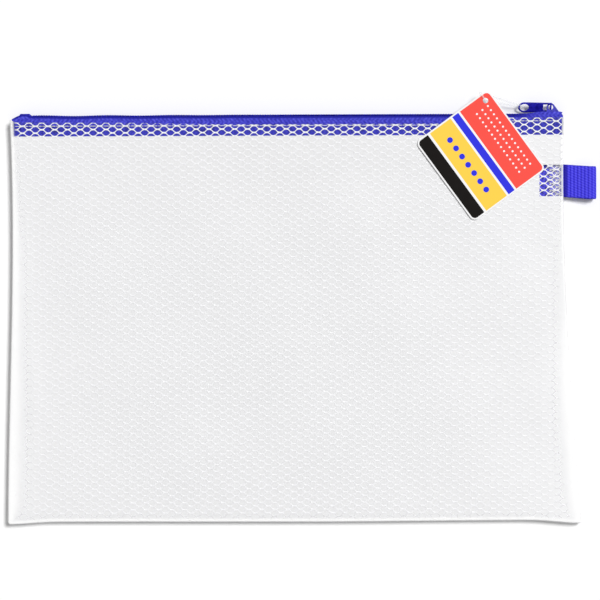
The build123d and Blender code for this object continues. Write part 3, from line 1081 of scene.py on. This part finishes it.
def zipper_coil(name, side, material):
    """Wire wound in flat loops that reach past the middle between those of the other row."""
    turns = (coil_right_x - coil_left_x) / coil_pitch
    angle = np.arange(int(turns * coil_points)) * 2 * math.pi / coil_points
    shift_share = back_coil_shift_share if side < 0 else 0
    x = coil_left_x + coil_pitch * (angle / (2 * math.pi) + shift_share)
    y = coil_centre_y + top_waves(x) - top_wave_height(x) + coil_half_y * np.sin(angle)
    z = middle_z + side * (coil_offset_z + coil_half_z * np.cos(angle))
    rings = tube_points(stacked(x, y, z), coil_wire / 2, np.array([1, 0, 0]))
    return mesh_piece(name, rings, swept_faces(len(rings), wire_sides), material)


def stitch_points(start, end, sink):
    """One stitch: thread that rises out of the sheet, runs along it and dips back in."""
    path = start + np.outer(stitch_shares, end - start) - np.outer(stitch_depth_shares, sink)
    return tube_points(path, thread_radius, np.cross(end - start, sink))


def seam_stitches(name, places, sink, material):
    """Row of stitches along a line of points that are a stitch pitch apart."""
    points, faces = [], []
    for here, following in zip(places, places[1:]):
        rings = stitch_points(here, here + unit(following - here) * stitch_length, sink)
        first = len(points) * len(rings) * wire_sides
        faces += [[point + first for point in face] for face in swept_faces(len(rings), wire_sides)]
        points.append(rings)
    return mesh_piece(name, points, faces, material)


def top_seam_places(z):
    x = np.arange(tape_left_x + stitch_pitch / 2, tape_right_x, stitch_pitch)
    return stacked(x, smooth_through(x, stitch_stations), z)


def side_seam_places(edge, inward, z):
    y = np.arange(bottom_y + allowance, tape_low_y, stitch_pitch)
    return stacked(edge(y) + inward * seam_line_inset, y, z)


def bottom_seam_places(z):
    x = np.arange(left_edge(bottom_y) + allowance, right_edge(bottom_y) - allowance, stitch_pitch)
    return stacked(x, bottom_edge(x) + seam_line_inset, z)


def webbing_path():
    """Middle line of the webbing from one end, out round the loop and back, as places along X and Z."""
    layer_z = webbing_thickness / 2 + webbing_layer_gap
    upper = [(webbing_start_x, layer_z), (webbing_seam_x, layer_z)]
    angles = np.linspace(webbing_trim_radians, math.pi - webbing_trim_radians, webbing_turn_points)
    turn = stacked(webbing_end_x + webbing_end_radius * np.sin(angles), webbing_end_radius * np.cos(angles))
    lower = [(x, -z) for x, z in reversed(upper)]
    corners = np.concatenate([upper, turn, lower])
    run = np.concatenate([[0], np.cumsum(np.linalg.norm(np.diff(corners, axis=0), axis=1))])
    lengths = np.linspace(0, run[-1], webbing_samples)
    kernel = np.ones(webbing_smoothing) / webbing_smoothing
    line = []
    for places in corners.T:
        even = np.interp(lengths, run, places)
        padded = np.pad(even, webbing_smoothing // 2, mode="reflect", reflect_type="odd")
        line.append(np.convolve(padded, kernel, mode="valid"))
    return stacked(*line), lengths


def webbing_strip(material):
    """Ribbed strip folded back on itself round the loop, with its two ends in the seam."""
    line, lengths = webbing_path()
    ahead = unit(np.gradient(line, axis=0))
    outward = stacked(-ahead[:, 1], ahead[:, 0])
    rib = np.abs(np.sin(math.pi * lengths / webbing_rib_pitch)) ** webbing_rib_power
    shares = np.linspace(0, 1, webbing_columns)
    rounded = np.sqrt(np.clip(1 - np.abs(2 * shares - 1) ** webbing_edge_power, 0, 1))
    thick = webbing_thickness / 2 * (webbing_edge_share + (1 - webbing_edge_share) * rounded)
    from_edge = np.minimum(shares, 1 - shares) * (webbing_high_y - webbing_low_y)
    selvage = webbing_selvage_dark_share * (1 - smooth_step(from_edge / webbing_selvage))
    rings, ribs, shaded = [], [], []
    for (x, z), (out_x, out_z), crest in zip(line, outward, rib):
        past_seam = x - webbing_seam_x
        skew = webbing_skew * np.clip(past_seam / (webbing_end_x - webbing_seam_x), 0, 1)
        y = webbing_low_y + shares * (webbing_high_y - webbing_low_y) - skew
        outer = thick + webbing_rib_height * (crest - 1) * rounded
        upper = stacked(x + out_x * outer, y, middle_z + z + out_z * outer)
        lower = stacked(x - out_x * thick, y, middle_z + z - out_z * thick)
        rings.append(np.concatenate([upper, lower[::-1]]))
        # Painted shade on the loop beside the seam
        at_seam = 1 - smooth_step(past_seam / webbing_shade_reach)
        at_seam = at_seam * smooth_step(1 + past_seam / webbing_shade_start)
        # The rib value also carries the painted shade of the grooves into the colour
        ribs.append(np.full(2 * webbing_columns, crest))
        shaded.append(np.tile(np.maximum(selvage, at_seam), 2))
    faces = swept_faces(len(rings), len(rings[0]))
    values = {"rib": ribs, "shaded": shaded}
    piece = mesh_piece("webbing", rings, faces, material, 0, webbing_crease_degrees, values)
    return piece


def dress_node(name, material, bevel=0):
    """Gives a CAD node its material, and softens its edges."""
    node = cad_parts[name]
    node.data.materials.clear()
    node.data.materials.append(material)
    if bevel:
        softening = node.modifiers.new("soft_edges", "BEVEL")
        softening.width = bevel
        softening.segments = bevel_segments
        softening.limit_method = "ANGLE"
        softening.angle_limit = math.radians(bevel_degrees)


def place_piece(piece, body, slot, *nodes):
    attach(piece, body)
    if nodes:
        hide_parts(*nodes)


# Stage

def make_floor():
    half = floor_size / 2
    corners = [(x * half, y * half, -floor_drop) for x, y in ((-1, -1), (1, -1), (1, 1), (-1, 1))]
    floor = mesh_piece("floor", corners, [[0, 1, 2, 3]], floor_material())


def make_light():
    sun = bpy.data.lights.new("key", "SUN")
    sun.energy = sun_strength
    sun.angle = math.radians(sun_softness_degrees)
    lamp = bpy.data.objects.new("key", sun)
    lamp.rotation_euler = Vector(sun_direction).to_track_quat("-Z", "Y").to_euler()
    bpy.context.scene.collection.objects.link(lamp)
    world = bpy.data.worlds.new("studio")
    world.use_nodes = True
    bpy.context.scene.world = world
    background = world.node_tree.nodes["Background"]
    give(background, "Color", bright_white)
    seen = seen_socket(world.node_tree)
    give(background, "Strength", range_socket(world.node_tree, seen, sky_strength, 1))


def make_camera():
    data = bpy.data.cameras.new("camera")
    data.sensor_width = camera_sensor_mm
    data.lens = camera_sensor_mm * (camera_height - view_level) / view_width
    camera = bpy.data.objects.new("camera", data)
    camera.location = (view_centre_x, view_centre_y, camera_height)
    camera.rotation_euler = (0, 0, -math.radians(camera_roll_degrees))
    bpy.context.scene.collection.objects.link(camera)
    bpy.context.scene.camera = camera


bpy.context.scene.view_settings.view_transform = "Standard"
bpy.context.scene.cycles.transparent_max_bounces = clear_layers
make_camera()
make_light()
make_floor()

film = film_material()
net = net_material()
tape = tape_material()
chain = chain_material()
enamel = enamel_material()
thread = thread_material()

for side, name in ((1, "front"), (-1, "back")):
    panel, flat, area = film_sheet(name + "_film", side, film)
    lattice = net_sheet(name + "_net", side, net)
    place_piece(panel, "wallet", "netted_film", name + "_panel")
    place_piece(lattice, "wallet", "netted_film")
    place_piece(zipper_tape(name + "_zipper_tape", side, tape), "wallet", "zipper_tape", name + "_tape")
    coil = zipper_coil(name + "_zipper_coil", side, chain)
    place_piece(coil, "wallet", "zipper_loops", name + "_coil")

thread_rows = {
    "front_seam_thread": top_seam_places(middle_z + pocket_half),
    "back_seam_thread": top_seam_places(2 * middle_z - tape_face_z + tape_thickness + thread_radius),
    "left_seam_thread": side_seam_places(left_edge, 1, middle_z + 2 * allowance_gap),
    "right_seam_thread": side_seam_places(right_edge, -1, middle_z + 2 * allowance_gap),
    "bottom_seam_thread": bottom_seam_places(middle_z + 2 * bottom_allowance_gap),
}
stitch_sink = np.array([0, 0, 2 * thread_radius])
for node, places in thread_rows.items():
    stitches = seam_stitches(node.replace("thread", "stitches"), places, stitch_sink, thread)
    place_piece(stitches, "wallet", "white_thread", node)

webbing = webbing_strip(webbing_material())
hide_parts("webbing_loop", "webbing_tail")
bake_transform(webbing)

dress_node("bottom_stop", chain, stop_bevel)
dress_node("slider_body", enamel, slider_bevel)
dress_node("slider_bridge", enamel, bridge_bevel)
dress_node("pull_tab", enamel, slider_bevel)
dress_node("tag_loop", clear_loop_material())
dress_node("tag_card", tag_material())
